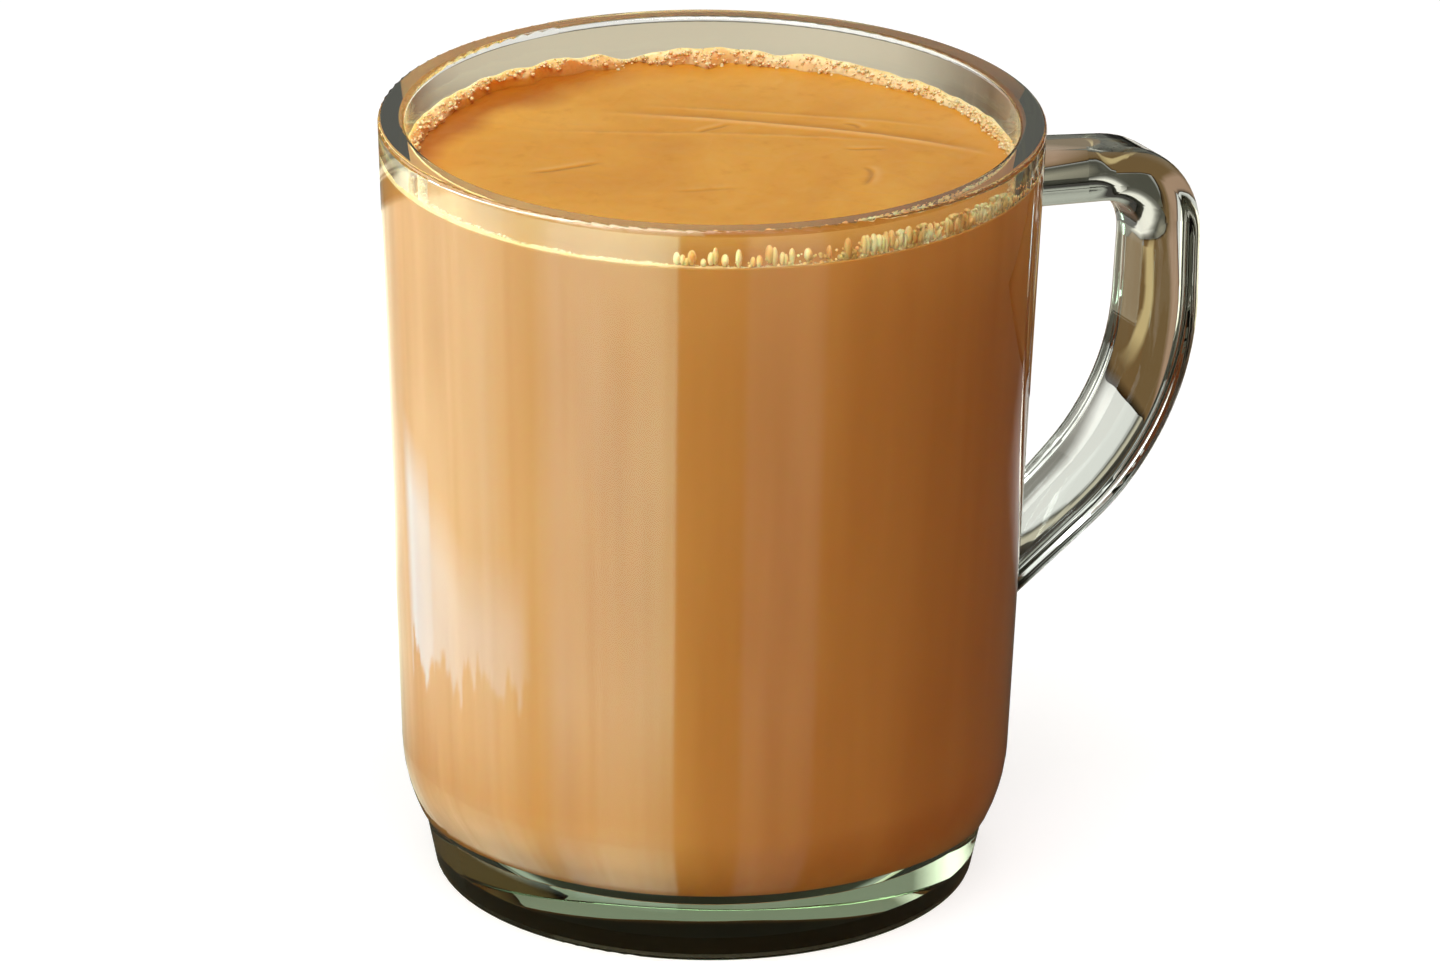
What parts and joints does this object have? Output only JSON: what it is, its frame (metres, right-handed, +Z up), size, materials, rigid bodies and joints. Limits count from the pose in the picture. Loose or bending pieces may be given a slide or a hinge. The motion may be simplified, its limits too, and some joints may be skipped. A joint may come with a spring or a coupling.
{
  "type": "masala chai in a glass mug",
  "caption": "Milky spiced tea with a thin skin and an uneven ring of froth, in a clear pressed-glass mug with a thick foot and a D-shaped handle.",
  "frame": {"origin": "centre of the foot ring's underside, on the mug's axis", "axes": "+Z up along the mug's axis, +X from the axis towards the handle"},
  "size_m": [0.1075, 0.08, 0.0958],
  "materials": {
    "clear_glass": "clear pressed glass, faintly grey-green where it is thick",
    "chai": "opaque milky tea, orange-brown, with a thin wrinkled skin",
    "froth": "pale cream froth of small bubbles"
  },
  "bodies": {
    "root": {"glass_mug": "clear_glass", "chai": "chai", "froth_ring": "froth"}
  },
  "joints": []
}
